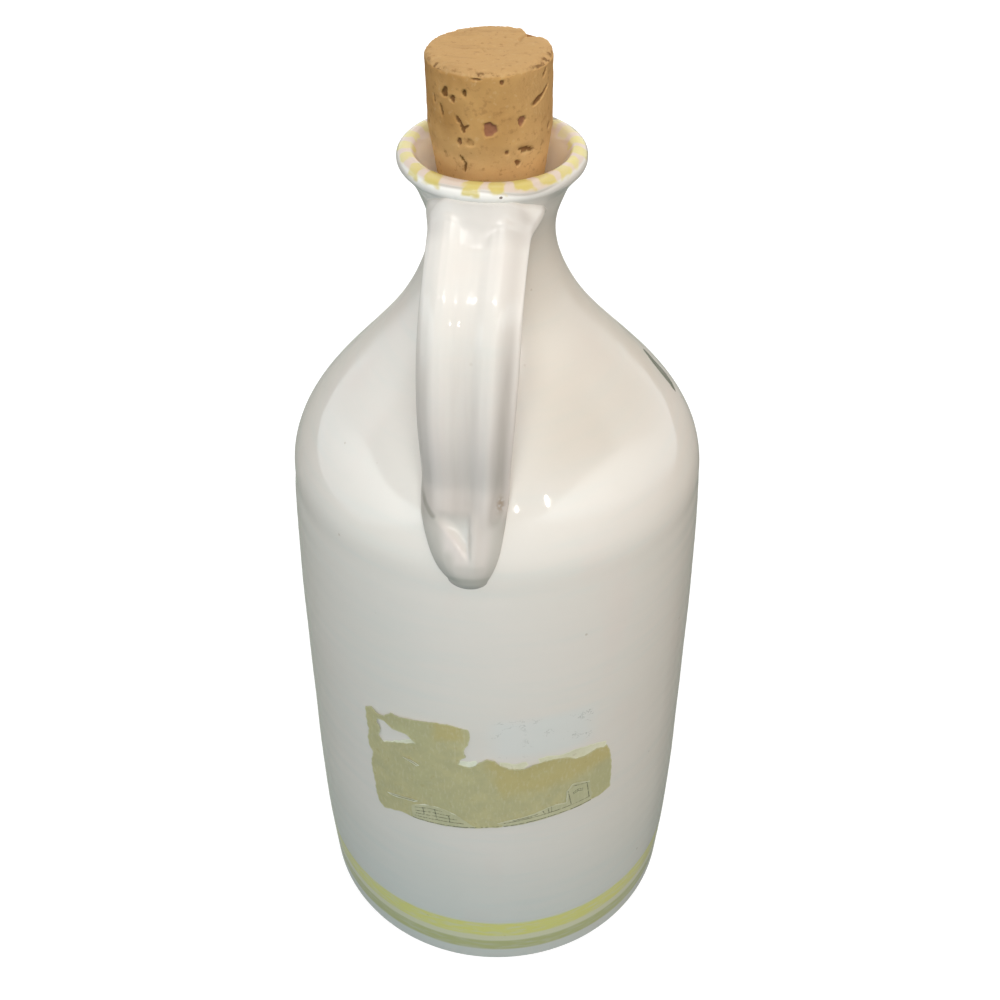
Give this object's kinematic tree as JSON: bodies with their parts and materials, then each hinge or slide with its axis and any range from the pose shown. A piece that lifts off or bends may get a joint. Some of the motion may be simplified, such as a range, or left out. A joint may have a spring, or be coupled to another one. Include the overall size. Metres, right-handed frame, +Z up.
{
  "type": "oil bottle",
  "caption": "Hand-thrown white glazed ceramic oil bottle with a strap handle, yellow and green line decoration, a cork and the rest of a torn paper label.",
  "frame": {"origin": "centre of the flat base, on the surface that the bottle stands on", "axes": "+Z up along the turned body's axis, -Y towards the strap handle, +X to the right of someone who faces the handle"},
  "size_m": [0.1118, 0.1122, 0.2696],
  "materials": {
    "glaze": "gloss",
    "cork": "matte",
    "label_paper": "matte"
  },
  "bodies": {
    "bottle": {"bottle_body": "glaze", "strap_handle": "glaze", "torn_label": "label_paper"},
    "stopper": {"cork_stopper": "cork"}
  },
  "joints": [
    {"name": "cork_pull", "type": "slide", "parent": "bottle", "child": "stopper", "axis": [-0.0175, 0, 0.9998], "range_m": [0, 0.045]}
  ]
}
